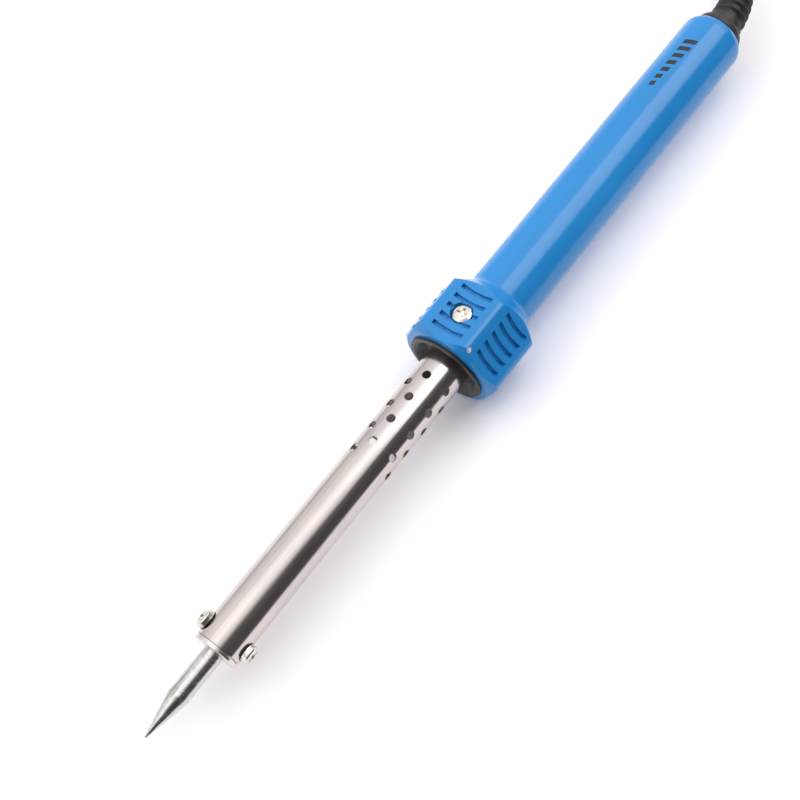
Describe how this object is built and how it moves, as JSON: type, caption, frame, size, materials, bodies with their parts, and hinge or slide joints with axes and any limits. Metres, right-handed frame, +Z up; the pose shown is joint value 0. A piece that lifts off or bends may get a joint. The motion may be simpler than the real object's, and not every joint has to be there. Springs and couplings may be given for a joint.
{
  "type": "soldering iron",
  "caption": "Straight electric soldering iron: conical tip, vented steel barrel, black collar and a blue handle with a hexagonal grip, on a mains cord tied in a hank.",
  "frame": {"origin": "on the bench under the middle of the iron, halfway from the tip's point to the handle's end; the grip's lower face rests at z = 0", "axes": "X along the iron, tip towards -X and cord towards +X; Z up, square to the grip's face that holds the screw; Y across"},
  "size_m": [0.5585, 0.047, 0.0289],
  "materials": {
    "tip_nickel": "bright nickel with fine turning marks",
    "bush_steel": "machined steel",
    "barrel_steel": "polished stainless tube",
    "screw_nickel": "bright zinc and nickel plate",
    "handle_blue": "glossy moulded plastic",
    "phenolic_black": "pressed phenolic, satin",
    "brass_parts": "turned brass",
    "mica_sheet": "mica sheet",
    "coil_wire": "oxidised resistance wire",
    "ceramic_white": "unglazed steatite",
    "wire_brown": "PVC insulation",
    "wire_blue": "PVC insulation",
    "cord_black": "PVC sheath, satin",
    "boot_rubber": "moulded rubber, satin",
    "tie_strap": "woven strap",
    "plug_black": "moulded PVC",
    "pin_nickel": "nickel-plated brass"
  },
  "bodies": {
    "iron": {"front_bush": "bush_steel", "barrel": "barrel_steel", "handle": "handle_blue", "insulating_collar": "phenolic_black", "barrel_retaining_ring": "bush_steel", "grip_insert": "brass_parts", "heater_core_tube": "bush_steel", "mica_inner": "mica_sheet", "heating_coil": "coil_wire", "mica_outer": "mica_sheet", "ceramic_spacer": "ceramic_white", "heater_lead_left": "coil_wire", "heater_lead_right": "coil_wire", "lead_beads": "ceramic_white", "terminal_block": "ceramic_white", "terminal_sleeves": "brass_parts", "terminal_screws": "brass_parts", "conductor_brown": "wire_brown", "conductor_blue": "wire_blue", "cord_inner_end": "cord_black", "cord_clamp": "bush_steel", "strain_relief": "boot_rubber", "cord_run": "cord_black", "cord_hank": "cord_black", "hank_tie": "tie_strap", "cord_tail": "cord_black", "plug_body": "plug_black", "plug_pins": "pin_nickel"},
    "tip": {"tip": "tip_nickel"},
    "tip_washer_left": {"tip_washer_left": "screw_nickel"},
    "tip_screw_left": {"tip_screw_left": "screw_nickel"},
    "tip_washer_right": {"tip_washer_right": "screw_nickel"},
    "tip_screw_right": {"tip_screw_right": "screw_nickel"},
    "grip_washer": {"grip_washer": "screw_nickel"},
    "grip_screw": {"grip_screw": "screw_nickel"}
  },
  "joints": [
    {"name": "tip_slide", "type": "slide", "parent": "iron", "child": "tip", "axis": [-1, 0, 0], "range_m": [0, 0.045]},
    {"name": "tip_screw_left_rise", "type": "slide", "parent": "iron", "child": "tip_washer_left", "axis": [0, 0.7837, 0.6211], "range_m": [0, 0.001]},
    {"name": "tip_screw_left_turn", "type": "hinge", "parent": "tip_washer_left", "child": "tip_screw_left", "pos_m": [-0.1018, 0.00531, 0.01866], "axis": [0, 0.7837, 0.6211], "range_deg": [0, 721]},
    {"name": "tip_screw_right_rise", "type": "slide", "parent": "iron", "child": "tip_washer_right", "axis": [0, -0.9728, -0.2317], "range_m": [0, 0.001]},
    {"name": "tip_screw_right_turn", "type": "hinge", "parent": "tip_washer_right", "child": "tip_screw_right", "pos_m": [-0.1018, -0.00659, 0.01288], "axis": [0, -0.9728, -0.2317], "range_deg": [0, 721]},
    {"name": "grip_screw_rise", "type": "slide", "parent": "iron", "child": "grip_washer", "axis": [0, 0, 1], "range_m": [0, 0.001]},
    {"name": "grip_screw_turn", "type": "hinge", "parent": "grip_washer", "child": "grip_screw", "pos_m": [0.0045, 0, 0.02645], "axis": [0, 0, 1], "range_deg": [0, 721]}
  ],
  "couplings": [
    {"joint": "tip_screw_left_turn", "follows": "tip_screw_left_rise", "rad_per_m": 12566},
    {"joint": "tip_screw_right_turn", "follows": "tip_screw_right_rise", "rad_per_m": 12566},
    {"joint": "grip_screw_turn", "follows": "grip_screw_rise", "rad_per_m": 12566}
  ]
}
